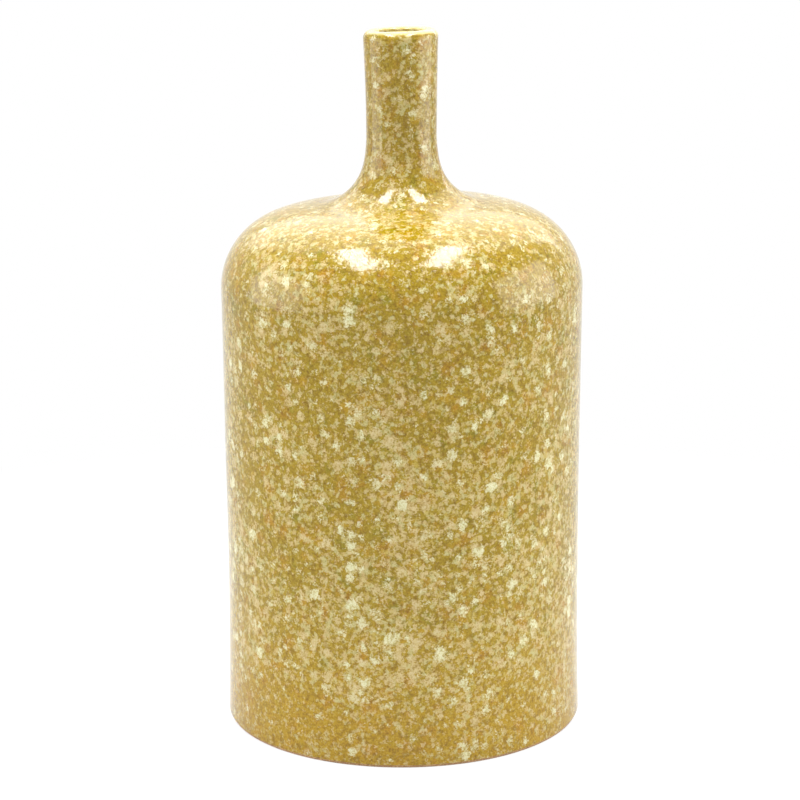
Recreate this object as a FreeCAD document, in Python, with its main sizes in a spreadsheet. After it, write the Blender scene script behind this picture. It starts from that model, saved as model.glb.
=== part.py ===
"""A bottle vase: a slip-cast stoneware bottle with a straight wall, a domed shoulder and a narrow neck,
coated outside, inside and under its foot.

Every layer is turned about the vase's axis from one half section. The outside, the two faces of the
clay and the inside of the vase are the same bottle outline at four depths in the wall: the arcs of
each have the centres of the layer beneath, so that the coats lie on the clay with no gap.

Frame: +Z up, millimetres, origin in the middle of the plane that the foot stands on.
"""
import FreeCAD, Part
import math
import os
import types

import Sketcher

# The driving sizes: name, value and meaning. Slopes are in degrees from the horizontal.
SIZES = [
    ("total_height", 290.0, "from the standing plane to the top of the lip"),
    ("body_radius", 75.0, "outside, at the widest level, just under the shoulder"),
    ("waist_depth", 0.9, "how far the wall is drawn in between foot and shoulder"),
    ("waist_height", 54.0, "level at which the wall is drawn in most"),
    ("shoulder_radius", 31.4, "the turn from the wall into the dome"),
    ("crown_radius", 75.5, "the flatter top of the dome"),
    ("crown_slope", 19.9, "slope at which the shoulder hands over to the crown"),
    ("root_radius", 22.6, "the hollow curve from the dome into the neck"),
    ("root_slope", 78.6, "slope at which the hollow curve hands over to the collar"),
    ("collar_radius", 56.0, "the longer curve that ends upright, where the neck is narrowest"),
    ("neck_radius", 14.6, "outside, where the neck is narrowest"),
    ("neck_length", 42.5, "from the narrowest level up to the top of the lip"),
    ("lip_flare", 0.7, "how much further out the lip reaches than the narrowest neck"),
    ("lip_round_share", 0.56, "outer rounding of the lip, as a share of the lip's thickness"),
    ("mouth_round_share", 0.28, "inner rounding of the lip, as a share of the lip's thickness"),
    ("wall_thickness", 4.2, "fired clay, everywhere but in the floor and the foot ring"),
    ("glaze_thickness", 0.4, "each coat of glaze"),
    ("floor_thickness", 4.6, "fired clay, between the recess and the inside"),
    ("floor_bevel", 6.0, "sloping corner in the clay, where the inside wall meets the floor"),
    ("foot_bevel", 1.0, "outer edge of the foot ring, wiped to a slope"),
    ("ring_width", 8.0, "foot ring, from the outside of the vase to the recess"),
    ("recess_depth", 3.0, "the hollow under the foot, in the clay"),
    ("recess_bevel_share", 0.5, "sloping corner under the recess's ceiling, as a share of its depth"),
    ("ring_bevel_share", 0.25, "inner edge of the foot ring, as a share of the recess's depth"),
    ("wiped_margin", 0.2, "how far above the sloping edges of the foot ring the coats end"),
]

# Formulas that several sections share.
GLAZE = "sizes.glaze_thickness"
WALL = "sizes.wall_thickness"
OUTSIDE_FACE = "0"
CLAY_OUTSIDE = GLAZE
CLAY_INSIDE = f"({GLAZE} + {WALL})"
INSIDE_FACE = f"(2 * {GLAZE} + {WALL})"
LIP_THICKNESS = f"(sizes.lip_flare + {INSIDE_FACE})"
LIP_ROUND = f"({LIP_THICKNESS} * sizes.lip_round_share)"
MOUTH_ROUND = f"({LIP_THICKNESS} * sizes.mouth_round_share)"
MOUTH_LEVEL = f"(sizes.total_height - {MOUTH_ROUND})"
BORE_RADIUS = f"(sizes.neck_radius - {INSIDE_FACE})"
NECK_LEVEL = "(sizes.total_height - sizes.neck_length)"
LOW_WALL_RADIUS = "((sizes.waist_depth^2 + sizes.waist_height^2) / (2 * sizes.waist_depth))"
FLOOR_LEVEL = "(sizes.recess_depth + sizes.floor_thickness)"
RECESS_RADIUS = "(sizes.body_radius - sizes.ring_width)"
RECESS_BEVEL = "(sizes.recess_depth * sizes.recess_bevel_share)"
RING_BEVEL = "(sizes.recess_depth * sizes.ring_bevel_share)"
GLAZE_LINE = "(sizes.foot_bevel + sizes.wiped_margin)"
BASE_GLAZE_LINE = f"({RING_BEVEL} + sizes.wiped_margin)"
BEVEL_LOSS = f"{GLAZE} * (2 - sqrt(2))"

# Slopes of the outline: upright at the waist and at the neck, level on top of the lip.
UPRIGHT = math.pi / 2
LEVEL = 0

MM3_PER_ML = 1000

# A sketch's own numbers for its origin, its axes and the points of an edge.
START, END, CENTRE = range(1, 4)
GROUND, AXIS = range(-1, -3, -1)
ORIGIN = (GROUND, START)


def point(across, up):
    """A point of a section, or a step between two of them."""
    return FreeCAD.Vector(across, up, 0)


def outward(slope):
    """The direction square to the outline, away from the clay, where it has this slope."""
    return point(math.sin(slope), math.cos(slope))


class Edge:
    """An edge of a section, with the ends that lie nearer to the foot and nearer to the lip."""

    def __init__(self, number, low, high):
        self.number = number
        self.low = (number, low)
        self.high = (number, high)
        self.centre = (number, CENTRE)


class Section:
    """A half section of a layer, whose sizes are formulas of the names in the sheet."""

    def __init__(self, body, name):
        self.sketch = body.newObject("Sketcher::SketchObject", name)
        plane = next(face for face in body.Origin.OriginFeatures if face.Role == "XZ_Plane")
        self.sketch.AttachmentSupport = [(plane, "")]
        self.sketch.MapMode = "FlatFace"

    def value(self, formula):
        """What a formula comes to."""
        return float(self.sketch.evalExpression(formula))

    def line(self, low, high):
        """A straight edge."""
        return Edge(self.sketch.addGeometry(Part.LineSegment(low, high), False), START, END)

    def arc(self, centre, radius, start_angle, end_angle):
        """An arc, anticlockwise from one angle to the other; returns its number."""
        circle = Part.Circle(centre, FreeCAD.Vector(0, 0, 1), radius)
        return self.sketch.addGeometry(Part.ArcOfCircle(circle, start_angle, end_angle), False)

    def convex(self, centre, radius, low_slope, high_slope):
        """An arc that bulges away from the axis."""
        number = self.arc(centre, radius, UPRIGHT - low_slope, UPRIGHT - high_slope)
        return Edge(number, START, END)

    def concave(self, centre, radius, low_slope, high_slope):
        """An arc that is hollowed towards the axis."""
        turned = UPRIGHT + math.pi
        number = self.arc(centre, radius, turned - high_slope, turned - low_slope)
        return Edge(number, END, START)

    def rule(self, kind, *where):
        """A rule with no size."""
        self.sketch.addConstraint(Sketcher.Constraint(kind, *where))

    def size(self, kind, formula, *where):
        """A size, bound to its formula."""
        number = self.sketch.addConstraint(Sketcher.Constraint(kind, *where, self.value(formula)))
        self.sketch.setExpression(f"Constraints[{number}]", formula)

    def smooth(self, first, second):
        """Two ends meet with no corner."""
        self.rule("Tangent", *first, *second)

    def meet(self, first, second):
        """Two ends meet."""
        self.rule("Coincident", *first, *second)

    def level(self, first, second):
        """Two points lie on one level."""
        self.rule("Horizontal", *first, *second)

    def upright(self, first, second):
        """Two points lie one above the other."""
        self.rule("Vertical", *first, *second)

    def on_axis(self, end):
        """An end lies on the vase's axis."""
        self.rule("PointOnObject", *end, AXIS)

    def across(self, formula, where, origin=ORIGIN):
        """A point's distance from the axis, or from another point."""
        self.size("DistanceX", formula, *origin, *where)

    def up(self, formula, where):
        """A point's level."""
        self.size("DistanceY", formula, *ORIGIN, *where)

    def radius(self, formula, edge):
        """An arc's radius."""
        self.size("Radius", formula, edge.number)


class Curve:
    """Where the arcs of the bottle outline have their centres, which is the same at every depth."""

    def __init__(self, sizes):
        self.sizes = sizes
        neck_level = sizes.total_height - sizes.neck_length
        self.crown_slope = math.radians(sizes.crown_slope)
        self.root_slope = math.radians(sizes.root_slope)
        self.collar = point(sizes.neck_radius + sizes.collar_radius, neck_level)
        self.root = self.collar - outward(self.root_slope) * (sizes.collar_radius - sizes.root_radius)
        shoulder_reach = sizes.body_radius - sizes.shoulder_radius
        crown_step = outward(self.crown_slope) * (sizes.crown_radius - sizes.shoulder_radius)
        both_radii = sizes.root_radius + sizes.crown_radius
        self.meeting_slope = math.asin((self.root.x + crown_step.x - shoulder_reach) / both_radii)
        self.crown = self.root - outward(self.meeting_slope) * both_radii
        self.shoulder = self.crown + crown_step
        self.find_walls()
        self.find_lip(neck_level)

    def find_walls(self):
        """The two long arcs of the wall, which meet upright at the waist."""
        sizes = self.sizes
        waist_radius = sizes.body_radius - sizes.waist_depth
        depth = sizes.waist_depth
        self.low_wall_radius = (depth**2 + sizes.waist_height**2) / (2 * depth)
        self.low_wall = point(waist_radius + self.low_wall_radius, sizes.waist_height)
        rise = self.shoulder.y - sizes.waist_height
        reach = sizes.shoulder_radius - depth
        self.high_wall_radius = (reach**2 + rise**2 - sizes.shoulder_radius**2) / (2 * depth)
        self.high_wall = point(waist_radius + self.high_wall_radius, sizes.waist_height)
        self.spring_slope = UPRIGHT + math.asin(rise / (self.high_wall_radius + sizes.shoulder_radius))

    def find_lip(self, neck_level):
        """The neck's flare and the two roundings of the lip."""
        sizes = self.sizes
        inside_depth = 2 * sizes.glaze_thickness + sizes.wall_thickness
        thickness = sizes.lip_flare + inside_depth
        self.lip_round = thickness * sizes.lip_round_share
        self.mouth_round = thickness * sizes.mouth_round_share
        rise = sizes.neck_length - self.lip_round
        reach = self.lip_round - sizes.lip_flare
        self.flare_radius = (reach**2 + rise**2 - self.lip_round**2) / (2 * sizes.lip_flare)
        self.flare = point(sizes.neck_radius + self.flare_radius, neck_level)
        self.lip_slope = UPRIGHT + math.asin(rise / (self.flare_radius + self.lip_round))
        self.lip = point(sizes.neck_radius - reach, sizes.total_height - self.lip_round)
        bore_radius = sizes.neck_radius - inside_depth
        self.mouth = point(bore_radius + self.mouth_round, sizes.total_height - self.mouth_round)

    def low_wall_slope(self, depth, level):
        """The lower wall's slope at a level."""
        return math.acos((self.sizes.waist_height - level) / (self.low_wall_radius + depth))

    def low_wall_point(self, depth, level):
        """The lower wall's point at a level."""
        slope = self.low_wall_slope(depth, level)
        return self.low_wall - outward(slope) * (self.low_wall_radius + depth)


def draw_wall(section, curve, inset, low_level):
    """The bottle outline at a depth in the wall, from a level near the foot to the narrowest neck."""
    depth = section.value(inset)
    sizes = curve.sizes
    low_slope = curve.low_wall_slope(depth, section.value(low_level))
    spring_slope, crown_slope, meeting_slope = curve.spring_slope, curve.crown_slope, curve.meeting_slope
    low_wall = section.concave(curve.low_wall, curve.low_wall_radius + depth, low_slope, UPRIGHT)
    high_wall = section.concave(curve.high_wall, curve.high_wall_radius + depth, UPRIGHT, spring_slope)
    shoulder = section.convex(curve.shoulder, sizes.shoulder_radius - depth, spring_slope, crown_slope)
    crown = section.convex(curve.crown, sizes.crown_radius - depth, crown_slope, meeting_slope)
    root = section.concave(curve.root, sizes.root_radius + depth, meeting_slope, curve.root_slope)
    collar = section.concave(curve.collar, sizes.collar_radius + depth, curve.root_slope, UPRIGHT)
    edges = [low_wall, high_wall, shoulder, crown, root, collar]
    for lower, upper in zip(edges, edges[1:]):
        section.smooth(lower.high, upper.low)
    section.up(low_level, low_wall.low)
    section.radius(f"{LOW_WALL_RADIUS} + {inset}", low_wall)
    section.across(f"sizes.body_radius - sizes.waist_depth - {inset}", low_wall.high)
    section.up("sizes.waist_height", low_wall.high)
    section.level(low_wall.centre, low_wall.high)
    section.radius(f"sizes.shoulder_radius - {inset}", shoulder)
    section.across("sizes.body_radius - sizes.shoulder_radius", shoulder.centre)
    section.radius(f"sizes.crown_radius - {inset}", crown)
    crown_step = "(sizes.crown_radius - sizes.shoulder_radius) * sin(sizes.crown_slope)"
    section.across(crown_step, shoulder.centre, crown.centre)
    section.radius(f"sizes.root_radius + {inset}", root)
    root_step = "(sizes.collar_radius - sizes.root_radius) * sin(sizes.root_slope)"
    section.across(root_step, collar.centre, root.centre)
    section.radius(f"sizes.collar_radius + {inset}", collar)
    section.across(f"sizes.neck_radius - {inset}", collar.high)
    section.up(NECK_LEVEL, collar.high)
    section.level(collar.centre, collar.high)
    return low_wall, collar


def draw_lip(section, curve, inset, collar):
    """The neck's flare, the lip and its top, as far as the start of the bore."""
    depth = section.value(inset)
    top = curve.sizes.total_height - depth
    flare = section.concave(curve.flare, curve.flare_radius + depth, UPRIGHT, curve.lip_slope)
    lip = section.convex(curve.lip, curve.lip_round - depth, curve.lip_slope, LEVEL)
    rim = section.line(point(curve.lip.x, top), point(curve.mouth.x, top))
    mouth = section.convex(curve.mouth, curve.mouth_round - depth, LEVEL, -UPRIGHT)
    edges = [collar, flare, lip, rim, mouth]
    for outer, inner in zip(edges, edges[1:]):
        section.smooth(outer.high, inner.low)
    section.radius(f"{LIP_ROUND} - {inset}", lip)
    section.across(f"sizes.neck_radius + sizes.lip_flare - {LIP_ROUND}", lip.centre)
    section.up(f"sizes.total_height - {LIP_ROUND}", lip.centre)
    section.level(rim.low, rim.high)
    section.radius(f"{MOUTH_ROUND} - {inset}", mouth)
    return mouth


def draw_hollow(section, curve, inset, floor_level, bevel):
    """The inside at a depth in the wall: half the floor, its sloping corner, the wall and the bore."""
    depth = section.value(inset)
    floor = section.value(floor_level)
    wall_level = f"{floor_level} + {bevel}"
    low_wall, collar = draw_wall(section, curve, inset, wall_level)
    wall_end = curve.low_wall_point(depth, section.value(wall_level))
    floor_end = point(wall_end.x - section.value(bevel), floor)
    floor_line = section.line(point(0, floor), floor_end)
    corner = section.line(floor_end, wall_end)
    bore_radius = curve.sizes.neck_radius - depth
    bore = section.line(point(bore_radius, curve.flare.y), point(bore_radius, curve.mouth.y))
    section.on_axis(floor_line.low)
    section.level(floor_line.low, floor_line.high)
    section.up(floor_level, floor_line.low)
    section.across(bevel, low_wall.low, floor_line.high)
    section.meet(floor_line.high, corner.low)
    section.meet(corner.high, low_wall.low)
    section.meet(collar.high, bore.low)
    section.upright(bore.low, bore.high)
    return floor_line, bore


def draw_recess(section, inset, bevel):
    """Half the recess under the foot at a distance from the clay: ceiling, corner and side."""
    ceiling_level = f"sizes.recess_depth - {inset}"
    side_radius = f"{RECESS_RADIUS} - {inset}"
    side_level = f"{ceiling_level} - {bevel}"
    radius = section.value(side_radius)
    ceiling_height = section.value(ceiling_level)
    ceiling_end = point(radius - section.value(bevel), ceiling_height)
    side_top = point(radius, section.value(side_level))
    ceiling = section.line(point(0, ceiling_height), ceiling_end)
    corner = section.line(side_top, ceiling_end)
    side = section.line(point(radius, 0), side_top)
    section.on_axis(ceiling.low)
    section.level(ceiling.low, ceiling.high)
    section.up(ceiling_level, ceiling.low)
    section.across(bevel, side.high, ceiling.high)
    section.meet(ceiling.high, corner.high)
    section.meet(corner.low, side.high)
    section.upright(side.low, side.high)
    section.across(side_radius, side.high)
    section.up(side_level, side.high)
    return ceiling, side


def draw_foot(section, curve, side, low_wall):
    """The underside of the foot ring, from the recess's side to the outer wall."""
    bevel = section.value(RING_BEVEL)
    radius = section.value(RECESS_RADIUS)
    foot_bevel = curve.sizes.foot_bevel
    wall_end = curve.low_wall_point(section.value(CLAY_OUTSIDE), foot_bevel)
    inner_end = point(radius + bevel, 0)
    outer_end = point(wall_end.x - foot_bevel, 0)
    inner_edge = section.line(inner_end, point(radius, bevel))
    standing = section.line(inner_end, outer_end)
    outer_edge = section.line(outer_end, wall_end)
    section.meet(side.low, inner_edge.high)
    section.up(RING_BEVEL, side.low)
    section.meet(inner_edge.low, standing.low)
    section.across(RING_BEVEL, standing.low, side.low)
    section.rule("PointOnObject", *standing.low, GROUND)
    section.level(standing.low, standing.high)
    section.across("sizes.foot_bevel", low_wall.low, standing.high)
    section.meet(standing.high, outer_edge.low)
    section.meet(outer_edge.high, low_wall.low)


def turn(body, section, name):
    """Turns a closed section once round the vase's axis."""
    revolution = body.newObject("PartDesign::Revolution", name)
    revolution.Profile = (section.sketch, [""])
    revolution.ReferenceAxis = (section.sketch, ["V_Axis"])
    revolution.Angle = 360
    body.Tip = revolution


def new_layer(doc, label):
    """An empty body for one layer of the vase."""
    body = doc.addObject("PartDesign::Body", label)
    body.Label = label
    body.Placement = FreeCAD.Placement()
    return body


def make_clay_body(doc, curve):
    """The fired clay: one hollow casting with a foot ring, a floor, a wall, a dome and a neck."""
    body = new_layer(doc, "clay_body")
    section = Section(body, "clay_section")
    low_wall, collar = draw_wall(section, curve, CLAY_OUTSIDE, "sizes.foot_bevel")
    mouth = draw_lip(section, curve, CLAY_OUTSIDE, collar)
    floor_line, bore = draw_hollow(section, curve, CLAY_INSIDE, FLOOR_LEVEL, "sizes.floor_bevel")
    section.smooth(mouth.high, bore.high)
    ceiling, side = draw_recess(section, OUTSIDE_FACE, RECESS_BEVEL)
    draw_foot(section, curve, side, low_wall)
    middle = section.line(point(0, curve.sizes.recess_depth), point(0, section.value(FLOOR_LEVEL)))
    section.meet(middle.low, ceiling.low)
    section.meet(middle.high, floor_line.low)
    turn(body, section, "clay_turned")
    return body


def make_outer_glaze(doc, curve):
    """The speckled coat: up the wall from just above the foot, and over the lip into the mouth."""
    body = new_layer(doc, "outer_glaze")
    section = Section(body, "outer_glaze_section")
    skin_level = f"{GLAZE_LINE} + {GLAZE}"
    skin_wall, skin_collar = draw_wall(section, curve, OUTSIDE_FACE, skin_level)
    skin_mouth = draw_lip(section, curve, OUTSIDE_FACE, skin_collar)
    back_wall, back_collar = draw_wall(section, curve, CLAY_OUTSIDE, GLAZE_LINE)
    back_mouth = draw_lip(section, curve, CLAY_OUTSIDE, back_collar)
    for mouth, inset in ((skin_mouth, OUTSIDE_FACE), (back_mouth, CLAY_OUTSIDE)):
        section.across(f"{BORE_RADIUS} + {inset}", mouth.high)
        section.level(mouth.centre, mouth.high)
    bore_radius = section.value(BORE_RADIUS)
    thickness = curve.sizes.glaze_thickness
    seam = section.line(point(bore_radius, curve.mouth.y), point(bore_radius + thickness, curve.mouth.y))
    section.meet(skin_mouth.high, seam.low)
    section.meet(back_mouth.high, seam.high)
    edge_low = curve.low_wall_point(thickness, section.value(GLAZE_LINE))
    edge_high = curve.low_wall_point(0, section.value(skin_level))
    edge = section.line(edge_low, edge_high)
    section.meet(edge.low, back_wall.low)
    section.meet(edge.high, skin_wall.low)
    turn(body, section, "outer_glaze_turned")
    return body


def make_liner_glaze(doc, curve):
    """The coat inside: the floor, the wall and the dome, and up the neck to the mouth."""
    body = new_layer(doc, "liner_glaze")
    section = Section(body, "liner_glaze_section")
    face_level = f"{FLOOR_LEVEL} + {GLAZE}"
    face_bevel = f"(sizes.floor_bevel - {BEVEL_LOSS})"
    back_floor, back_bore = draw_hollow(section, curve, CLAY_INSIDE, FLOOR_LEVEL, "sizes.floor_bevel")
    face_floor, face_bore = draw_hollow(section, curve, INSIDE_FACE, face_level, face_bevel)
    for bore in (back_bore, face_bore):
        section.up(MOUTH_LEVEL, bore.high)
    face_radius = section.value(BORE_RADIUS)
    thickness = curve.sizes.glaze_thickness
    seam = section.line(point(face_radius, curve.mouth.y), point(face_radius + thickness, curve.mouth.y))
    section.meet(seam.low, face_bore.high)
    section.meet(seam.high, back_bore.high)
    floor = section.value(FLOOR_LEVEL)
    middle = section.line(point(0, floor), point(0, floor + thickness))
    section.meet(middle.low, back_floor.low)
    section.meet(middle.high, face_floor.low)
    turn(body, section, "liner_glaze_turned")
    return body


def make_base_glaze(doc, curve):
    """The thin coat in the recess under the foot."""
    body = new_layer(doc, "base_glaze")
    section = Section(body, "base_glaze_section")
    back_ceiling, back_side = draw_recess(section, OUTSIDE_FACE, RECESS_BEVEL)
    face_ceiling, face_side = draw_recess(section, GLAZE, f"({RECESS_BEVEL} - {BEVEL_LOSS})")
    for side in (back_side, face_side):
        section.up(BASE_GLAZE_LINE, side.low)
    line = section.value(BASE_GLAZE_LINE)
    radius = section.value(RECESS_RADIUS)
    depth = curve.sizes.recess_depth
    thickness = curve.sizes.glaze_thickness
    rim = section.line(point(radius - thickness, line), point(radius, line))
    section.meet(rim.low, face_side.low)
    section.meet(rim.high, back_side.low)
    middle = section.line(point(0, depth - thickness), point(0, depth))
    section.meet(middle.low, face_ceiling.low)
    section.meet(middle.high, back_ceiling.low)
    turn(body, section, "base_glaze_turned")
    return body


def check(doc, bodies):
    """Stops if anything failed to build."""
    for item in doc.Objects:
        if "Invalid" in item.State or "Error" in item.State:
            raise RuntimeError(f"{item.Label} did not build: {item.State}")
    for body in bodies:
        if body.Shape.isNull() or not body.Shape.isValid():
            raise RuntimeError(f"{body.Label} is not a sound solid")
        volume = body.Shape.Volume / MM3_PER_ML
        counts = f"{len(body.Shape.Solids)} solid, {len(body.Shape.Faces)} faces"
        print(f"{body.Label}: {counts}, {volume:.1f} ml")


def main():
    """Builds the layers and writes each to its own file."""
    doc = FreeCAD.newDocument("bottle_vase")
    sheet = doc.addObject("Spreadsheet::Sheet", "sizes")
    for row, (alias, value, meaning) in enumerate(SIZES, start=1):
        sheet.set(f"A{row}", alias)
        sheet.set(f"B{row}", str(value))
        sheet.set(f"C{row}", meaning)
        sheet.setAlias(f"B{row}", alias)
    doc.recompute()
    sizes = types.SimpleNamespace(**{alias: float(sheet.get(alias)) for alias, _, _ in SIZES})
    curve = Curve(sizes)
    makers = (make_clay_body, make_outer_glaze, make_liner_glaze, make_base_glaze)
    bodies = [make(doc, curve) for make in makers]
    doc.recompute()
    check(doc, bodies)
    os.makedirs("parts", exist_ok=True)
    for body in bodies:
        body.Shape.exportStep(f"parts/{body.Label}.step")


main()
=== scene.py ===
"""A bottle vase in speckled ochre glaze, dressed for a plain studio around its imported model.

Each layer of the vase is turned from the same bottle outline at its own depth in the wall, and all of
them take on the same slight unevenness of hand work. Metres, +Z up, the foot's plane at zero.
"""
import logging
import math
from dataclasses import dataclass
from enum import Enum

import bpy
from mathutils import Matrix, Vector


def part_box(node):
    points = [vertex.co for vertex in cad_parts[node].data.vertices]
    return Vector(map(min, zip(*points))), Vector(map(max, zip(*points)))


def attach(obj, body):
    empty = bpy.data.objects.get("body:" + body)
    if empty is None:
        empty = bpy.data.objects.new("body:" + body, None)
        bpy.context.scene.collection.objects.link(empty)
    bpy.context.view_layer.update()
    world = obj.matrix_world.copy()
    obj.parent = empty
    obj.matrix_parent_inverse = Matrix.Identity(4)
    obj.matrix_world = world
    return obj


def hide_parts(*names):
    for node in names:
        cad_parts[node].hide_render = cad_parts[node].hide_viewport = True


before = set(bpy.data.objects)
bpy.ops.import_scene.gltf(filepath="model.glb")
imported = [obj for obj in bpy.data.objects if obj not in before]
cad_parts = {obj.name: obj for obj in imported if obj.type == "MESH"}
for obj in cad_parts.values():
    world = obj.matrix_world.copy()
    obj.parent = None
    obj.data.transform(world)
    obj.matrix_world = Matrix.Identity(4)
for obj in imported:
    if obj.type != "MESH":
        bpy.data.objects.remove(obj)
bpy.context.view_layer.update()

LOG = logging.getLogger("bottle_vase")
MM = 0.001
UPRIGHT = math.pi / 2
LEVEL = 0.0
MERGE = 0.01 * MM
SMOOTH_ANGLE = math.radians(35)
IMAGE_PIXELS = 800
SENSOR_WIDTH = 36.0
WHITE = "ffffff"

# The middle of a random field, and the places of a colour mix's factor, colours and result
HALF = 0.5
FACTOR = 0
UNDER = 6
OVER = 7
MIXED = 2

Point = tuple[float, float]
Place = tuple[float, float, float]
Size = tuple[float, float]
Output = bpy.types.NodeSocket
Value = float | bpy.types.NodeSocket
Colour = str | bpy.types.NodeSocket

# Where a mask sets in and where it is full, on the scale of the field that it reads
Span = tuple[float, float]


class Slot(Enum):
    """The record's material slots."""

    CLAY = "fired_clay"
    OUTER_GLAZE = "ochre_spatter_glaze"
    LINER_GLAZE = "ochre_liner_glaze"


class Blend(Enum):
    """How a colour works on the one under it."""

    COVER = "MIX"
    TINT = "MULTIPLY"


class Overlap(Enum):
    """How several masks become one: where all of them are, or where any of them is."""

    ALL = "MULTIPLY"
    ANY = "MAXIMUM"


# Colours and nodes

def srgb(code: str) -> tuple[float, float, float, float]:
    """Turns a hex colour into linear light.

    Args:
        code: six hex digits in sRGB, such as "a98e38".

    Returns:
        Linear red, green and blue, with an alpha of one.
    """
    shares = [int(code[start:start + 2], 16) / 255 for start in (0, 2, 4)]
    linear = [s / 12.92 if s <= 0.04045 else ((s + 0.055) / 1.055) ** 2.4 for s in shares]
    return (*linear, 1.0)


def add_node(tree: bpy.types.NodeTree, kind: str,
             values: dict[str | int, object] | None = None) -> bpy.types.Node:
    """Adds a node with its settings and links.

    Args:
        tree: the node tree that gets it.
        kind: the node's type, such as "ShaderNodeMath".
        values: what it is set to, by the name of a property, or by the name or number of an input. An
            output of another node is linked to the input.

    Returns:
        The new node.
    """
    node = tree.nodes.new(kind)
    for name, value in (values or {}).items():
        if isinstance(value, bpy.types.NodeSocket):
            tree.links.new(value, node.inputs[name])
        elif isinstance(name, str) and hasattr(node, name):
            setattr(node, name, value)
        else:
            node.inputs[name].default_value = value
    return node


def clear_material(name: str) -> tuple[bpy.types.Material, bpy.types.NodeTree]:
    """Makes a material with an empty node tree.

    Args:
        name: what the finish is.

    Returns:
        The material and its node tree.
    """
    material = bpy.data.materials.new(name)
    material.use_nodes = True
    material.node_tree.nodes.clear()
    return material, material.node_tree


def close_surface(tree: bpy.types.NodeTree, colour: Output, height: Output, relief: float,
                  values: dict[str | int, object]) -> None:
    """Ends a material: its colour and its relief become one surface.

    Args:
        tree: the material's node tree.
        colour: the colour's output.
        height: how high the surface stands, from nought to one.
        relief: how far one of it is, in metres.
        values: the surface's roughness and the like, by the name of the input.
    """
    bump = add_node(tree, "ShaderNodeBump", {"Strength": 1.0, "Distance": relief, "Height": height})
    shader = add_node(tree, "ShaderNodeBsdfPrincipled",
                      {**values, "Base Color": colour, "Normal": bump.outputs[0]})
    add_node(tree, "ShaderNodeOutputMaterial", {"Surface": shader.outputs[0]})


def seen_directly(tree: bpy.types.NodeTree) -> Output:
    """Tells how a thing is looked at.

    Args:
        tree: the node tree that asks.

    Returns:
        One where the camera sees it directly, in a mirror or through glass, and nought for its light.
    """
    path = add_node(tree, "ShaderNodeLightPath")
    seen = path.outputs["Is Camera Ray"]
    for ray in ("Is Glossy Ray", "Is Transmission Ray"):
        both = add_node(tree, "ShaderNodeMath", {"operation": "MAXIMUM", 0: seen, 1: path.outputs[ray]})
        seen = both.outputs[0]
    return seen


@dataclass(frozen=True)
class Flecks:
    """Separate irregular spots of one size, some of them missing.

    The spacing is the mean distance between their centres, and the shift moves them away from other
    flecks, both in metres. The rest are shares of the spacing: the reach is the largest spot's radius,
    the gain is what it grows by in a crowded place, and the edge is half the width of its soft edge.
    """

    spacing: float
    reach: float
    edge: float
    shift: float
    gain: float = 0.0

    def span(self) -> Span:
        """Where a spot sets in and where it is full."""
        return HALF - self.edge, HALF + self.edge


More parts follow.
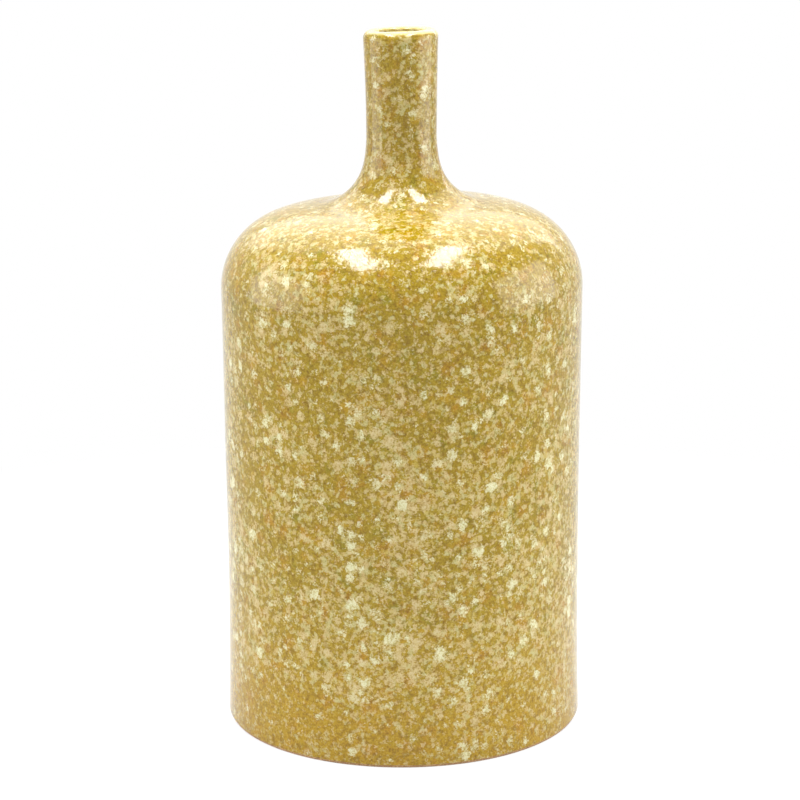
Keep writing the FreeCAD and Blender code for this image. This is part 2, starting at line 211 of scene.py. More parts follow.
@dataclass
class Pattern:
    """Fields, masks and colours of one material, all on Object coordinates."""

    tree: bpy.types.NodeTree
    wobble_rate: float = 2.2
    wobble_share: float = 0.6

    def __post_init__(self) -> None:
        """Starts from the tree's Object coordinates."""
        self.coordinates = add_node(self.tree, "ShaderNodeTexCoord").outputs["Object"]

    def field(self, width: float, detail: float = 2.0, shift: float = 0.0, roughness: float = 0.6) -> Output:
        """A soft random field around a half.

        Args:
            width: the real width of its features in metres.
            detail: how many finer layers it has.
            shift: moves it away from other fields of the same width, in metres.
            roughness: how strong each finer layer is against the one before it.

        Returns:
            The field's output.
        """
        moved = add_node(self.tree, "ShaderNodeMapping",
                         {"Location": (shift, shift, shift), "Vector": self.coordinates})
        noise = add_node(self.tree, "ShaderNodeTexNoise", {
            "Scale": 1 / width, "Detail": detail, "Roughness": roughness, "Vector": moved.outputs[0]})
        return noise.outputs["Fac"]

    def where(self, overlap: Overlap, parts: list[tuple[Output, Span]]) -> Output:
        """Makes one soft mask from one or more fields.

        Args:
            overlap: whether all of them or any of them has to be there.
            parts: each field with the span over which its mask rises.

        Returns:
            The mask, from nought to one.
        """
        mask = 1.0 if overlap is Overlap.ALL else 0.0
        for field, (start, full) in parts:
            rise = add_node(self.tree, "ShaderNodeMapRange", {
                "interpolation_type": "SMOOTHSTEP", "From Min": start, "From Max": full, "Value": field})
            joined = add_node(self.tree, "ShaderNodeMath",
                              {"operation": overlap.value, 0: mask, 1: rise.outputs["Result"]})
            mask = joined.outputs[0]
        return mask

    def cover(self, field: Output, span: Span, under: Colour, over: Colour, share: float = 1.0,
              blend: Blend = Blend.COVER) -> Output:
        """Lays one colour over another where a field passes a level.

        Args:
            field: the field that it reads.
            span: where the upper colour sets in and where it is full.
            under: the lower colour, in hex or as an output.
            over: the upper colour, in hex or as an output.
            share: how much of the upper colour there is where it is full.
            blend: how the upper colour works on the lower one.

        Returns:
            The colour of both.
        """
        rise = add_node(self.tree, "ShaderNodeMapRange", {
            "interpolation_type": "SMOOTHSTEP", "From Min": span[0], "From Max": span[1],
            "To Max": share, "Value": field})
        colours = [srgb(colour) if isinstance(colour, str) else colour for colour in (under, over)]
        mixed = add_node(self.tree, "ShaderNodeMix", {
            "data_type": "RGBA", "blend_type": blend.value, FACTOR: rise.outputs["Result"],
            UNDER: colours[0], OVER: colours[1]})
        return mixed.outputs[MIXED]

    def wobbled(self, spacing: float) -> Output:
        """The coordinates, pushed about so that what is drawn on them looks irregular.

        Args:
            spacing: the mean distance between the things to be drawn, in metres.

        Returns:
            The pushed coordinates.
        """
        noise = add_node(self.tree, "ShaderNodeTexNoise", {
            "Scale": self.wobble_rate / spacing, "Detail": 1.0, "Vector": self.coordinates})
        centred = add_node(self.tree, "ShaderNodeVectorMath",
                           {"operation": "SUBTRACT", 0: noise.outputs["Color"], 1: (HALF, HALF, HALF)})
        push = add_node(self.tree, "ShaderNodeVectorMath", {
            "operation": "SCALE", 0: centred.outputs[0], "Scale": spacing * self.wobble_share})
        pushed = add_node(self.tree, "ShaderNodeVectorMath",
                          {"operation": "ADD", 0: self.coordinates, 1: push.outputs[0]})
        return pushed.outputs[0]

    def flecks(self, spots: Flecks, crowd: Value = 0.0, grain: Value = HALF) -> tuple[Output, Output]:
        """Strews separate irregular spots, some of them missing.

        Args:
            spots: their size, spacing and edge.
            crowd: how crowded a place is, from nought to one.
            grain: what roughens their edges, around a half.

        Returns:
            A field that is above a half in a spot, and a random number for each spot.
        """
        place = add_node(self.tree, "ShaderNodeMapping", {
            "Location": (spots.shift, spots.shift, spots.shift), "Vector": self.wobbled(spots.spacing)})
        cells = add_node(self.tree, "ShaderNodeTexVoronoi",
                         {"Scale": 1 / spots.spacing, "Vector": place.outputs[0]})
        chance = add_node(self.tree, "ShaderNodeSeparateColor", {0: cells.outputs["Color"]})
        share = add_node(self.tree, "ShaderNodeMath",
                         {"operation": "MULTIPLY_ADD", 0: crowd, 1: spots.gain, 2: spots.reach})
        reach = add_node(self.tree, "ShaderNodeMath", {
            "operation": "MULTIPLY_ADD", 0: chance.outputs["Red"], 1: share.outputs[0], 2: grain})
        depth = add_node(self.tree, "ShaderNodeMath",
                         {"operation": "SUBTRACT", 0: reach.outputs[0], 1: cells.outputs["Distance"]})
        return depth.outputs[0], chance.outputs["Green"]


# Finishes

@dataclass(frozen=True)
class SpatterGlaze:
    """Stoneware ash glaze over a speckled slip, sprayed and fired glossy."""

    # Once fired, the glaze is glass. The eye gets sharp mirror images of the studio, with cream, pale
    # green and rust flecks under them whose edges are soft, because they float in the glass. Spray
    # leaves the surface a little uneven. The coat is thickest low on the wall, turns golden where it
    # pools at the foot, and is thin and pale over the rim. That pale band is also painted light, which
    # stands in for the brightly lit lip.
    name: str = "speckled_ash_glaze_sprayed"
    roughness: float = 0.10
    ior: float = 1.45
    ochre: str = "826c08"
    olive: str = "736704"
    amber: str = "8e700a"
    straw: str = "9c8a3a"
    shell: str = "b4a37a"
    celadon: str = "adac80"
    chalk: str = "cacbae"
    rust: str = "93610b"
    pooled: str = "a07c08"
    # The rim's pale colour: thin glaze there, and painted light for the brightly lit lip.
    rim_thin_glaze_and_painted_light: str = "c2b67c"
    dust: str = "ddd3ad"

    # The finest dots are about 0.4 mm across, one pixel in the picture. They are drawn as 0.8 mm, as
    # coarse as they need to be to show.
    fine_grain: float = 0.8 * MM
    coarse_grain: float = 1.9 * MM
    milk: float = 2.4 * MM
    hue: float = 3.6 * MM
    cloud: float = 7.0 * MM
    drift: float = 34.0 * MM
    orange_peel: float = 1.6 * MM
    relief: float = 0.07 * MM
    small_flecks: Flecks = Flecks(2.4 * MM, reach=0.32, edge=0.12, shift=0.11, gain=0.28)
    large_flecks: Flecks = Flecks(5.0 * MM, reach=0.24, edge=0.18, shift=0.57, gain=0.32)
    rust_flecks: Flecks = Flecks(8.0 * MM, reach=0.40, edge=0.12, shift=0.83)

    # Heights over which the spray thins out, the glaze pools and the rim shows pale, partly as painted light
    spray_top: Span = (260.0 * MM, 80.0 * MM)
    spray_foot: Span = (0.0, 48.0 * MM)
    foot_span: Span = (80.0 * MM, 0.0)
    rim_thin_glaze_and_painted_light_span: Span = (288.4 * MM, 289.6 * MM)

    # Levels of the random fields where a colour sets in and where it is full
    olive_span: Span = (0.44, 0.30)
    amber_span: Span = (0.54, 0.68)
    thick_span: Span = (0.38, 0.78)
    veil_span: Span = (0.55, 0.66)
    celadon_span: Span = (0.40, 0.56)
    chalk_span: Span = (0.35, 0.65)
    straw_span: Span = (0.52, 0.70)
    coarse_dust_span: Span = (0.50, 0.32)
    fine_dust_span: Span = (0.52, 0.34)

    # How much of a colour or of a height there is where it is full
    foot_share: float = 0.5
    rust_share: float = 0.4
    spray_share: float = 0.18
    milk_share: float = 0.08
    veil_share: float = 0.60
    fleck_share: float = 0.70
    straw_share: float = 0.45
    rim_thin_glaze_and_painted_light_share: float = 0.6
    peel_share: float = 0.6
    stand_share: float = 0.4

    def make(self) -> bpy.types.Material:
        """Builds the material.

        Returns:
            The finished material.
        """
        material, tree = clear_material(self.name)
        pattern = Pattern(tree)
        height = add_node(tree, "ShaderNodeSeparateXYZ", {0: pattern.coordinates}).outputs["Z"]
        colour, standing = self.spatter(pattern, height, self.ground(pattern, height))
        peel = pattern.field(self.orange_peel, detail=1.0)
        stand = add_node(tree, "ShaderNodeMath", {"operation": "MULTIPLY", 0: standing, 1: self.stand_share})
        surface = add_node(tree, "ShaderNodeMath", {
            "operation": "MULTIPLY_ADD", 0: peel, 1: self.peel_share, 2: stand.outputs[0]})
        close_surface(tree, colour, surface.outputs[0], self.relief,
                      {"Roughness": self.roughness, "IOR": self.ior})
        return material

    def ground(self, pattern: Pattern, height: Output) -> Output:
        """The ochre between the flecks: olive and amber clouds with rust spots, golden towards the foot.

        Args:
            pattern: the material's pattern.
            height: how high a point is above the foot.

        Returns:
            The colour.
        """
        clouds = pattern.field(self.cloud, detail=3.0)
        colour = pattern.cover(clouds, self.olive_span, self.ochre, self.olive)
        colour = pattern.cover(clouds, self.amber_span, colour, self.amber)
        colour = pattern.cover(height, self.foot_span, colour, self.pooled, self.foot_share)
        grain = pattern.field(self.fine_grain, detail=1.0, shift=0.7)
        spots, _ = pattern.flecks(self.rust_flecks, grain=grain)
        return pattern.cover(spots, self.rust_flecks.span(), colour, self.rust, self.rust_share)

    def spatter(self, pattern: Pattern, height: Output, ground: Output) -> tuple[Output, Output]:
        """Milky blotches and flecks over the ground, more of them lower down, and the pale rim (painted light
        in part).

        Args:
            pattern: the material's pattern.
            height: how high a point is above the foot.
            ground: the colour under them.

        Returns:
            The colour, and how far the flecks stand up.
        """
        tree = pattern.tree
        band = pattern.where(Overlap.ALL, [(height, self.spray_top), (height, self.spray_foot)])
        drift = add_node(tree, "ShaderNodeMath", {
            "operation": "MULTIPLY_ADD", 0: band, 1: self.spray_share,
            2: pattern.field(self.drift, shift=0.3)})
        thick = pattern.where(Overlap.ANY, [(drift.outputs[0], self.thick_span)])
        milk = add_node(tree, "ShaderNodeMath", {
            "operation": "MULTIPLY_ADD", 0: thick, 1: self.milk_share,
            2: pattern.field(self.milk, detail=3.0, shift=0.4)}).outputs[0]
        hue = pattern.field(self.hue, shift=0.9)
        veil_colour = pattern.cover(hue, self.celadon_span, self.shell, self.celadon)
        grain = pattern.field(self.fine_grain, detail=1.0, shift=0.2)
        small, small_chance = pattern.flecks(self.small_flecks, thick, grain)
        large, large_chance = pattern.flecks(self.large_flecks, thick, grain)
        small_colour = add_node(tree, "ShaderNodeMix", {
            "data_type": "RGBA", FACTOR: small_chance, UNDER: srgb(self.straw), OVER: srgb(self.shell)})
        large_colour = pattern.cover(large_chance, self.chalk_span, self.shell, self.chalk)
        small_span = self.small_flecks.span()
        large_span = self.large_flecks.span()
        colour = pattern.cover(milk, self.veil_span, ground, veil_colour, self.veil_share)
        colour = pattern.cover(small, small_span, colour, small_colour.outputs[MIXED], self.fleck_share)
        colour = pattern.cover(large, large_span, colour, large_colour, self.fleck_share)
        colour = self.grain(pattern, colour)
        # The pale rim: thin glaze there, and painted light that stands in for the brightly lit lip.
        colour = pattern.cover(height, self.rim_thin_glaze_and_painted_light_span, colour, self.rim_thin_glaze_and_painted_light, self.rim_thin_glaze_and_painted_light_share)
        parts = [(small, small_span), (large, large_span), (milk, self.veil_span)]
        return colour, pattern.where(Overlap.ANY, parts)

    def grain(self, pattern: Pattern, colour: Output) -> Output:
        """The fine grain in the glaze: straw-coloured and dusky dots.

        Args:
            pattern: the material's pattern.
            colour: the colour under them.

        Returns:
            The colour with its grain.
        """
        fine = pattern.field(self.fine_grain)
        coarse = pattern.field(self.coarse_grain, shift=0.6)
        colour = pattern.cover(fine, self.straw_span, colour, self.straw, self.straw_share)
        colour = pattern.cover(coarse, self.coarse_dust_span, colour, self.dust, blend=Blend.TINT)
        return pattern.cover(fine, self.fine_dust_span, colour, self.dust, blend=Blend.TINT)


@dataclass(frozen=True)
class LinerGlaze:
    """Plain ochre glaze, poured in and out again, and fired glossy."""

    # Poured glaze is smooth glass, a little softer in its mirror images than the outside. The eye gets
    # a plain ochre that is darker where it pooled. It ran down off the mouth while it was wet, so it is
    # thin there, and the cream slip shows through. That cream up the bore is also painted light, which
    # lifts the shade inside the neck.
    name: str = "plain_ochre_glaze_poured"
    roughness: float = 0.16
    ior: float = 1.52
    thin: str = "cdb56a"
    pooled: str = "a2863c"
    # Pale cream high in the bore: thin glaze, and painted light that lifts the shade inside the neck.
    cream_and_painted_light: str = "efe8b8"
    pool: float = 14.0 * MM
    orange_peel: float = 2.0 * MM
    relief: float = 0.04 * MM
    pool_span: Span = (0.35, 0.65)
    cream_and_painted_light_span: Span = (268.0 * MM, 284.0 * MM)

    def make(self) -> bpy.types.Material:
        """Builds the material.

        Returns:
            The finished material.
        """
        material, tree = clear_material(self.name)
        pattern = Pattern(tree)
        height = add_node(tree, "ShaderNodeSeparateXYZ", {0: pattern.coordinates}).outputs["Z"]
        pools = pattern.field(self.pool, detail=3.0)
        colour = pattern.cover(pools, self.pool_span, self.thin, self.pooled)
        # Painted light: the bore turns pale cream towards the mouth, lifting its shade; the glaze is thin
        # there too.
        colour = pattern.cover(height, self.cream_and_painted_light_span, colour, self.cream_and_painted_light)
        peel = pattern.field(self.orange_peel, detail=1.0)
        close_surface(tree, colour, peel, self.relief, {"Roughness": self.roughness, "IOR": self.ior})
        return material


@dataclass(frozen=True)
class FiredClay:
    """Bare stoneware with grog, fired and wiped."""

    # Without glaze the fired clay is matt. The eye gets a warm brown, broken up by light grit where
    # grog shows and by a few dark specks of iron.
    name: str = "bare_stoneware_wiped"
    roughness: float = 0.82
    # The brown is darkened and greyed: painted shade for the shaded foot edge, where the clay shows.
    body: str = "8d6a45"
    grog: str = "b3946a"
    iron: str = "5d3d22"

    # Grog is about 0.3 mm across. It is drawn as 0.7 mm, as coarse as it needs to be to show.
    grit: float = 0.7 * MM
    relief: float = 0.08 * MM
    grog_span: Span = (0.50, 0.66)
    iron_specks: Flecks = Flecks(3.0 * MM, reach=0.30, edge=0.08, shift=0.2)

    def make(self) -> bpy.types.Material:
        """Builds the material.

        Returns:
            The finished material.
        """
        material, tree = clear_material(self.name)
        pattern = Pattern(tree)
        grit = pattern.field(self.grit)
        colour = pattern.cover(grit, self.grog_span, self.body, self.grog)
        specks, _ = pattern.flecks(self.iron_specks)
        colour = pattern.cover(specks, self.iron_specks.span(), colour, self.iron)
        close_surface(tree, colour, grit, self.relief, {"Roughness": self.roughness})
        return material


@dataclass(frozen=True)
class StudioPaper:
    """White background paper, matt from the roll."""

    # Matt paper scatters light evenly, so the eye gets a soft shadow and a little of the vase's colour
    # on it. Where it is looked at, it is lifted towards white, and from white_far outwards it is as
    # white as the backdrop.
    name: str = "white_background_paper"
    roughness: float = 0.9
    specular: float = 0.1
    paper: str = "f4f4f2"
    lift: float = 0.85
    white_near: float = 0.12
    white_far: float = 0.45

    def make(self) -> bpy.types.Material:
        """Builds the material.

        Returns:
            The finished material.
        """
        material, tree = clear_material(self.name)
        matt = add_node(tree, "ShaderNodeBsdfPrincipled", {
            "Base Color": srgb(self.paper), "Roughness": self.roughness, "Specular IOR Level": self.specular})
        white = add_node(tree, "ShaderNodeEmission", {"Color": srgb(WHITE), "Strength": 1.0})
        coordinates = add_node(tree, "ShaderNodeTexCoord").outputs["Object"]
        away = add_node(tree, "ShaderNodeVectorMath", {"operation": "LENGTH", 0: coordinates})
        lift = add_node(tree, "ShaderNodeMapRange", {
            "From Min": self.white_near, "From Max": self.white_far, "To Min": self.lift, "To Max": 1.0,
            "Value": away.outputs["Value"]})
        share = add_node(tree, "ShaderNodeMath", {
            "operation": "MULTIPLY", 0: seen_directly(tree), 1: lift.outputs["Result"]})
        mixed = add_node(tree, "ShaderNodeMixShader", {
            0: share.outputs[0], 1: matt.outputs[0], 2: white.outputs[0]})
        add_node(tree, "ShaderNodeOutputMaterial", {"Surface": mixed.outputs[0]})
        return material


# The bottle's outline

def outward(slope: float) -> Vector:
    """The direction square to the outline where it has this slope."""
    return Vector((math.sin(slope), math.cos(slope)))


def steps(count: int) -> list[float]:
    """Shares from nought to one, both included."""
    return [number / count for number in range(count + 1)]


def corner(centre: Vector, radius: float, start: float, end: float, count: int) -> list[Point]:
    """Points round a corner from one slope to another, both ends included."""
    return [tuple(centre + outward(start + (end - start) * share) * radius) for share in steps(count)]


def spread(end: Point, count: int, level: float) -> list[Point]:
    """Points on a level between the axis and an end, neither of them included."""
    return [(end[0] * share, level) for share in steps(count)[1:-1]]


def down_to(start: Point, level: float, spacing: float) -> list[Point]:
    """Points straight down from a start to a level, neither of them included."""
    count = max(1, math.ceil((start[1] - level) / spacing))
    return [(start[0], start[1] + (level - start[1]) * share) for share in steps(count)[1:-1]]


@dataclass(frozen=True)
class Bend:
    """A round stretch of the outline, read towards the lip: bulge is 1 outwards, -1 where hollow."""

    centre: Vector
    radius: float
    low_slope: float
    high_slope: float
    bulge: int

    def points(self, depth: float, spacing: float, turn: float) -> list[Point]:
        """Points along it at a depth in the wall.

        Args:
            depth: how far under the outside, in metres.
            spacing: the longest step between two points.
            turn: the largest change of slope between two points.

        Returns:
            The points, first and last included.
        """
        radius = self.radius - self.bulge * depth
        sweep = self.high_slope - self.low_slope
        count = max(1, math.ceil(abs(sweep) * radius / spacing), math.ceil(abs(sweep) / turn))
        slopes = [self.low_slope + sweep * number / count for number in range(count + 1)]
        return [tuple(self.centre + outward(slope) * self.bulge * radius) for slope in slopes]


@dataclass
class BottleOutline:
    """The bottle's half outline from its foot to its bore, as tangent bends, in metres."""

    body_radius: float
    total_height: float
    waist_depth: float = 0.9 * MM
    waist_height: float = 54.0 * MM
    shoulder_radius: float = 31.4 * MM
    crown_radius: float = 75.5 * MM
    crown_slope: float = math.radians(19.9)
    root_radius: float = 22.6 * MM
    root_slope: float = math.radians(78.6)
    collar_radius: float = 56.0 * MM
    neck_radius: float = 14.6 * MM
    neck_length: float = 42.5 * MM
    lip_flare: float = 0.7 * MM
    lip_round_share: float = 0.56
    mouth_round_share: float = 0.28
    clay: float = 4.2 * MM
    glaze: float = 0.4 * MM

    def __post_init__(self) -> None:
        """Works out the wall and the bends."""
        self.inside = 2 * self.glaze + self.clay
        self.bore_radius = self.neck_radius - self.inside
        self.body = self.body_bends()
        self.lip = self.lip_bends()

    def body_bends(self) -> list[Bend]:
        """Works out the wall, the dome and the neck's root, up to the narrowest neck.

        Returns:
            The bends, from the foot upwards.
        """
        neck = Vector((self.neck_radius + self.collar_radius, self.total_height - self.neck_length))
        root = neck - outward(self.root_slope) * (self.collar_radius - self.root_radius)
        step = outward(self.crown_slope) * (self.crown_radius - self.shoulder_radius)
        reach = self.body_radius - self.shoulder_radius
        both = self.root_radius + self.crown_radius
        meeting = math.asin((root.x + step.x - reach) / both)
        crown = root - outward(meeting) * both
        shoulder = crown + step
        waist = self.body_radius - self.waist_depth
        low_radius = (self.waist_depth**2 + self.waist_height**2) / (2 * self.waist_depth)
        rise = shoulder.y - self.waist_height
        inset = self.shoulder_radius - self.waist_depth
        high_radius = (inset**2 + rise**2 - self.shoulder_radius**2) / (2 * self.waist_depth)
        spring = UPRIGHT + math.asin(rise / (high_radius + self.shoulder_radius))
        low = math.acos(self.waist_height / low_radius)
        return [
            Bend(Vector((waist + low_radius, self.waist_height)), low_radius, low, UPRIGHT, -1),
            Bend(Vector((waist + high_radius, self.waist_height)), high_radius, UPRIGHT, spring, -1),
            Bend(shoulder, self.shoulder_radius, spring, self.crown_slope, 1),
            Bend(crown, self.crown_radius, self.crown_slope, meeting, 1),
            Bend(root, self.root_radius, meeting, self.root_slope, -1),
            Bend(neck, self.collar_radius, self.root_slope, UPRIGHT, -1),
        ]

    def lip_bends(self) -> list[Bend]:
        """Works out the neck's flare and the two roundings of the lip.

        Returns:
            The bends, from the narrowest neck over the lip to the start of the bore.
        """
        thickness = self.lip_flare + self.inside
        lip_round = thickness * self.lip_round_share
        mouth_round = thickness * self.mouth_round_share
        rise = self.neck_length - lip_round
        reach = lip_round - self.lip_flare
        flare_radius = (reach**2 + rise**2 - lip_round**2) / (2 * self.lip_flare)
        lip_slope = UPRIGHT + math.asin(rise / (flare_radius + lip_round))
        neck_level = self.total_height - self.neck_length
        flare = Vector((self.neck_radius + flare_radius, neck_level))
        lip = Vector((self.neck_radius - reach, self.total_height - lip_round))
        mouth = Vector((self.bore_radius + mouth_round, self.total_height - mouth_round))
        return [
            Bend(flare, flare_radius, UPRIGHT, lip_slope, -1),
            Bend(lip, lip_round, lip_slope, LEVEL, 1),
            Bend(mouth, mouth_round, LEVEL, -UPRIGHT, 1),
        ]

    def trace(self, bends: list[Bend], depth: float, spacing: float, turn: float) -> list[Point]:
        """Follows several bends at a depth.

        Args:
            bends: the bends, one after the other.
            depth: how far under the outside, in metres.
            spacing: the longest step between two points.
            turn: the largest change of slope between two points.

        Returns:
            The points, each shared one once.
        """
        points = []
        for bend in bends:
            stretch = bend.points(depth, spacing, turn)
            shared = points and math.dist(points[-1], stretch[0]) < MERGE
            points += stretch[1:] if shared else stretch
        return points

    def above(self, points: list[Point], level: float) -> list[Point]:
        """Cuts a line off at a level.

        Args:
            points: the line, from low to high.
            level: the height of the cut.

        Returns:
            The points above the level, with a first one on it.
        """
        kept = [point for point in points if point[1] > level]
        below = points[len(points) - len(kept) - 1]
        share = (level - below[1]) / (kept[0][1] - below[1])
        return [(below[0] + (kept[0][0] - below[0]) * share, level)] + kept


# The layers of the vase

@dataclass
class HandWork:
    """The slight unevenness of a vase that was turned, dried and fired.

    The sway moves a point by up to half its value each way. The dome stands up by the tilt on the right
    and down by it on the left, and by the swell on both, most where it is dome_reach from the axis.
    """

    sway: float = 0.9 * MM
    sway_width: float = 70.0 * MM
    still_height: float = 30.0 * MM
    tilt: float = 0.85 * MM
    swell: float = 0.45 * MM
    dome_reach: float = 40.0 * MM
    dome_foot: float = 165.0 * MM
    dome_rise: float = 40.0 * MM

    def work(self, piece: bpy.types.Object) -> None:
        """Moves a piece's points a little, alike in all layers, but not where the vase stands.

        Args:
            piece: the piece to be worked over.
        """
        texture = bpy.data.textures.new("sway", "CLOUDS")
        texture.cloud_type = "COLOR"
        texture.noise_scale = self.sway_width
        texture.noise_depth = 0
        group = piece.vertex_groups.new(name="above_the_foot")
        for vertex in piece.data.vertices:
            group.add([vertex.index], min(1.0, vertex.co.z / self.still_height), "REPLACE")
        swayed = piece.modifiers.new("sway", "DISPLACE")
        swayed.texture = texture
        swayed.texture_coords = "LOCAL"
        swayed.direction = "RGB_TO_XYZ"
        swayed.mid_level = HALF
        swayed.strength = self.sway
        swayed.vertex_group = group.name
        bpy.context.view_layer.objects.active = piece
        bpy.ops.object.modifier_apply(modifier=swayed.name)
        piece.vertex_groups.clear()
        for vertex in piece.data.vertices:
            vertex.co.z += self.lift(vertex.co)

    def lift(self, place: Vector) -> float:
        """How far the dome stands up at a place: more on the right than on the left, not on the axis.

        Args:
            place: a point of the vase.

        Returns:
            The height that it gains, in metres.
        """
        reach = place.x / self.dome_reach
        aside = reach * math.exp((1 - reach**2) / 2)
        upper = min(1.0, max(0.0, (place.z - self.dome_foot) / self.dome_rise))
        return upper * (self.tilt * aside + self.swell * aside**2)


@dataclass
class Layer:
    """One layer of the vase: a closed half section that is turned about the axis."""

    name: str
    node: str
    slot: Slot
    section: list[Point]
    around: int
    material: bpy.types.Material

    def build(self, hand: HandWork) -> bpy.types.Object:
        """Turns the section, works it over, dresses it and puts it in the node's place.

        Args:
            hand: what leaves the vase slightly uneven.

        Returns:
            The finished piece.
        """
        piece = self.turn()
        hand.work(piece)
        piece.data.materials.clear()
        piece.data.materials.append(self.material)
        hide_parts(self.node)
        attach(piece, "root")
        return piece

    def turn(self) -> bpy.types.Object:
        """Draws the section point by point and spins it round the axis.

        Returns:
            The turned piece, closed and smooth.
        """
        bpy.ops.object.select_all(action="DESELECT")
        start = Vector((self.section[0][0], 0, self.section[0][1]))
        bpy.ops.mesh.primitive_plane_add(size=MM, location=start)
        piece = bpy.context.object
        piece.name = self.name
        piece.data.name = self.name
        bpy.ops.object.transform_apply(location=True)
        bpy.ops.object.mode_set(mode="EDIT")
        bpy.ops.mesh.select_all(action="SELECT")
        bpy.ops.mesh.merge(type="CENTER")
        here = start
        for across, up in self.section[1:] + self.section[:1]:
            there = Vector((across, 0, up))
            bpy.ops.mesh.extrude_vertices_move(TRANSFORM_OT_translate={"value": there - here})
            here = there
        bpy.ops.mesh.select_all(action="SELECT")
        bpy.ops.mesh.remove_doubles(threshold=MERGE)
        bpy.ops.mesh.spin(steps=self.around, angle=math.tau, center=(0, 0, 0), axis=(0, 0, 1))
        bpy.ops.mesh.select_all(action="SELECT")
        bpy.ops.mesh.remove_doubles(threshold=MERGE)
        bpy.ops.mesh.normals_make_consistent(inside=False)
        bpy.ops.object.mode_set(mode="OBJECT")
        bpy.ops.object.shade_smooth_by_angle(angle=SMOOTH_ANGLE)
        return piece


@dataclass
class Vase:
    """The vase: its clay, and the coats outside, inside and under the foot."""

    outline: BottleOutline
    floor_thickness: float = 4.6 * MM
    floor_round: float = 7.0 * MM
    ring_width: float = 8.0 * MM
    recess_depth: float = 3.0 * MM
    recess_round_share: float = 0.5
    edge_round: float = 1.0 * MM
    inner_edge_share: float = 0.75
    glaze_line: float = 1.2 * MM
    spacing: float = 2.4 * MM
    turn: float = math.radians(6)
    around: int = 224
    floor_rings: int = 6
    floor_corner_steps: int = 12
    recess_corner_steps: int = 6
    edge_steps: int = 4

    def shell(self, depth: float, level: float) -> list[Point]:
        """The body and neck at a depth, from a level up to the narrowest neck."""
        line = self.outline
        return line.above(line.trace(line.body, depth, self.spacing, self.turn), level)

    def lip(self, depth: float) -> list[Point]:
        """The flare and the lip at a depth, down to the start of the bore."""
        return self.outline.trace(self.outline.lip, depth, self.spacing, self.turn)

    def hollow(self, depth: float) -> list[Point]:
        """Draws the inside at a depth.

        Args:
            depth: how far under the outside, in metres.

        Returns:
            The points, from the middle of the floor up to the narrowest neck.
        """
        line = self.outline
        floor = self.recess_depth + self.floor_thickness + depth - line.glaze - line.clay
        reach = self.floor_round - (depth - line.glaze - line.clay)
        wall = self.shell(depth, floor + reach)
        centre = Vector((wall[0][0] - reach, floor + reach))
        turned = corner(centre, reach, math.pi, UPRIGHT, self.floor_corner_steps)
        return [(0.0, floor)] + spread(turned[0], self.floor_rings, floor) + turned[:-1] + wall

    def recess(self, inset: float) -> list[Point]:
        """Draws the recess under the foot.

        Args:
            inset: how far from the clay, in metres.

        Returns:
            The points, from its middle to its side.
        """
        radius = self.outline.body_radius - self.ring_width - inset
        ceiling = self.recess_depth - inset
        reach = self.recess_depth * self.recess_round_share - inset
        centre = Vector((radius - reach, ceiling - reach))
        turned = corner(centre, reach, LEVEL, UPRIGHT, self.recess_corner_steps)
        return [(0.0, ceiling)] + spread(turned[0], self.floor_rings, ceiling) + turned

    def clay_section(self) -> list[Point]:
        """Draws the clay.

        Returns:
            Its half section, from the middle of the recess round to the middle of the floor.
        """
        line = self.outline
        outside = self.shell(line.glaze, self.edge_round)
        edge = self.edge_round
        inner_edge = edge * self.inner_edge_share
        ring = line.body_radius - self.ring_width
        inner_centre = Vector((ring + inner_edge, inner_edge))
        inner = corner(inner_centre, inner_edge, -UPRIGHT, -math.pi, self.edge_steps)
        outer_centre = Vector((outside[0][0] - edge, edge))
        outer = corner(outer_centre, edge, math.pi, UPRIGHT, self.edge_steps)
        inside = self.hollow(line.glaze + line.clay)
        lip = self.lip(line.glaze)
        bore = down_to(lip[-1], inside[-1][1], self.spacing)
        return self.recess(0.0) + inner + outer[:-1] + outside + lip[1:] + bore + inside[::-1]

    def outer_glaze_section(self) -> list[Point]:
        """Draws the speckled coat.

        Returns:
            Its half section, up the outside and back down its inner face.
        """
        line = self.outline
        back = self.shell(line.glaze, self.glaze_line)
        centre = Vector((back[0][0], self.glaze_line + line.glaze))
        bead = corner(centre, line.glaze, math.pi, UPRIGHT, self.edge_steps)
        skin = self.shell(0.0, self.glaze_line + line.glaze)
        skin += self.lip(0.0)[1:]
        back += self.lip(line.glaze)[1:]
        return bead[:-1] + skin + back[::-1]

    def liner_glaze_section(self) -> list[Point]:
        """Draws the inner coat.

        Returns:
            Its half section, from the floor up to the mouth and back.
        """
        line = self.outline
        face = self.hollow(line.inside)
        back = self.hollow(line.glaze + line.clay)
        top = self.lip(line.glaze)[-1][1]
        for side in (face, back):
            side += down_to((side[-1][0], top), side[-1][1], self.spacing)[::-1] + [(side[-1][0], top)]
        return face + back[::-1]

    def base_glaze_section(self) -> list[Point]:
        """Draws the coat in the recess.

        Returns:
            Its half section, out under the clay and back.
        """
        edge = self.edge_round
        back = self.recess(0.0)
        face = self.recess(self.outline.glaze)
        return back + [(back[-1][0], edge), (face[-1][0], edge)] + face[::-1]

    def build(self) -> list[bpy.types.Object]:
        """Turns every layer.

        Returns:
            The finished pieces.
        """
        liner = LinerGlaze().make()
        clay = FiredClay().make()
        spatter = SpatterGlaze().make()
        layers = [
            Layer("clay", "clay_body", Slot.CLAY, self.clay_section(), self.around, clay),
            Layer("speckled_coat", "outer_glaze", Slot.OUTER_GLAZE, self.outer_glaze_section(),
                  self.around, spatter),
            Layer("inner_coat", "liner_glaze", Slot.LINER_GLAZE, self.liner_glaze_section(),
                  self.around, liner),
            Layer("base_coat", "base_glaze", Slot.LINER_GLAZE, self.base_glaze_section(),
                  self.around, liner),
        ]
        hand = HandWork()
        return [layer.build(hand) for layer in layers]


# The studio

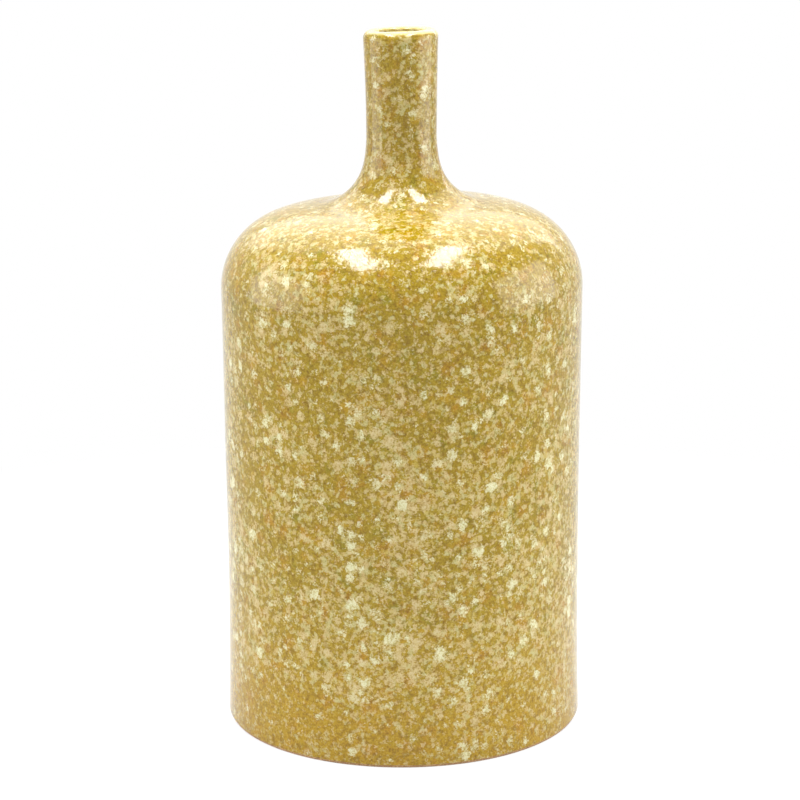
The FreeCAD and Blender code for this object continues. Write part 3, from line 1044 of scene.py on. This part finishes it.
@dataclass
class Softbox:
    """A rectangular soft light: where it hangs, what it looks at, its size and how bright it is."""

    name: str
    place: Place
    target: Place
    size: Size
    radiance: float
    mirrored: bool = True

    def build(self) -> bpy.types.Object:
        """Hangs the light. Its length runs upwards, or to the back of the room if it looks down.

        Returns:
            The lamp.
        """
        width, length = self.size
        light = bpy.data.lights.new(self.name, "AREA")
        light.shape = "RECTANGLE"
        light.size = width
        light.size_y = length
        light.energy = self.radiance * math.pi * width * length
        lamp = bpy.data.objects.new(self.name, light)
        lamp.visible_camera = False
        lamp.visible_glossy = self.mirrored
        bpy.context.scene.collection.objects.link(lamp)
        lamp.location = self.place
        backwards = Vector(self.place) - Vector(self.target)
        lamp.rotation_euler = backwards.to_track_quat("Z", "Y").to_euler()
        return lamp


@dataclass
class Studio:
    """White paper, soft light all round, and the camera at the photograph's height and angle."""

    camera_place: Place = (-0.001, -1.0657, 0.3954)
    pitch: float = math.radians(13.73)
    roll: float = math.radians(-0.3)
    focal_pixels: float = 2613.7
    light_level: float = 0.28
    floor_radius: float = 4.0
    floor_corners: int = 96
    shoulder: Place = (0, 0, 0.2)
    strip_size: Size = (0.20, 0.68)
    large_size: Size = (2.4, 1.6)
    side_size: Size = (1.2, 1.2)
    narrow_size: Size = (0.12, 0.5)

    def build_floor(self) -> bpy.types.Object:
        """Lays the paper: a round sheet, smooth right out to where the backdrop takes over.

        Returns:
            The floor.
        """
        bpy.ops.object.select_all(action="DESELECT")
        bpy.ops.mesh.primitive_circle_add(
            vertices=self.floor_corners, radius=self.floor_radius, fill_type="NGON")
        floor = bpy.context.object
        floor.name = "studio_floor"
        floor.data.materials.append(StudioPaper().make())
        return floor

    def build_world(self) -> None:
        """Lights the room evenly, and shows it white in the camera and in the glaze."""
        world = bpy.data.worlds.new("white_room")
        bpy.context.scene.world = world
        world.use_nodes = True
        tree = world.node_tree
        tree.nodes.clear()
        light, white = [
            add_node(tree, "ShaderNodeBackground", {"Color": srgb(WHITE), "Strength": strength})
            for strength in (self.light_level, 1.0)
        ]
        mixed = add_node(tree, "ShaderNodeMixShader", {
            0: seen_directly(tree), 1: light.outputs[0], 2: white.outputs[0]})
        add_node(tree, "ShaderNodeOutputWorld", {"Surface": mixed.outputs[0]})

    def build_lights(self) -> list[bpy.types.Object]:
        """Hangs two strips and a large box over the vase, a large box behind it, one at each side, and
        a narrow strip behind it on the right.

        Returns:
            The lamps.
        """
        shoulder = self.shoulder
        boxes = [
            Softbox("left_strip", (-0.32, -0.14, 1.2), (-0.32, -0.14, 0), self.strip_size, radiance=23.0),
            Softbox("right_strip", (0.29, -0.14, 1.2), (0.29, -0.14, 0), self.strip_size, radiance=23.0),
            Softbox("top_box", (0, -0.1, 1.7), (0, -0.1, 0), self.large_size, radiance=3.5,
                    mirrored=False),
            Softbox("back_box", (0, 0.95, 1.3), shoulder, self.large_size, radiance=1.6),
            Softbox("left_box", (-1.4, -0.1, 0.35), shoulder, self.side_size, radiance=2.9),
            Softbox("right_box", (1.4, -0.1, 0.35), shoulder, self.side_size, radiance=3.5),
            Softbox("side_strip", (0.9, 1.05, 0.77), shoulder, self.narrow_size, radiance=3.0),
        ]
        return [box.build() for box in boxes]

    def build_camera(self) -> bpy.types.Object:
        """Sets the camera where the photograph was taken from.

        Returns:
            The camera.
        """
        camera = bpy.data.cameras.new("camera")
        camera.sensor_width = SENSOR_WIDTH
        camera.lens = self.focal_pixels / IMAGE_PIXELS * SENSOR_WIDTH
        holder = bpy.data.objects.new("camera", camera)
        bpy.context.scene.collection.objects.link(holder)
        tilt = Matrix.Rotation(UPRIGHT - self.pitch, 4, "X") @ Matrix.Rotation(self.roll, 4, "Z")
        holder.matrix_world = Matrix.Translation(self.camera_place) @ tilt
        bpy.context.scene.camera = holder
        return holder


def main() -> None:
    """Builds the studio and the vase, and reports each piece."""
    logging.basicConfig(level=logging.INFO, format="%(message)s")
    bpy.context.scene.view_settings.view_transform = "Standard"
    _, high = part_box("outer_glaze")
    studio = Studio()
    studio.build_world()
    studio.build_camera()
    studio.build_floor()
    for lamp in studio.build_lights():
        LOG.info("light %s at %s", lamp.name, tuple(round(value, 3) for value in lamp.location))
    outline = BottleOutline(body_radius=high.x, total_height=high.z)
    for piece in Vase(outline).build():
        LOG.info("piece %s: %d faces", piece.name, len(piece.data.polygons))


if __name__ == "__main__":
    main()
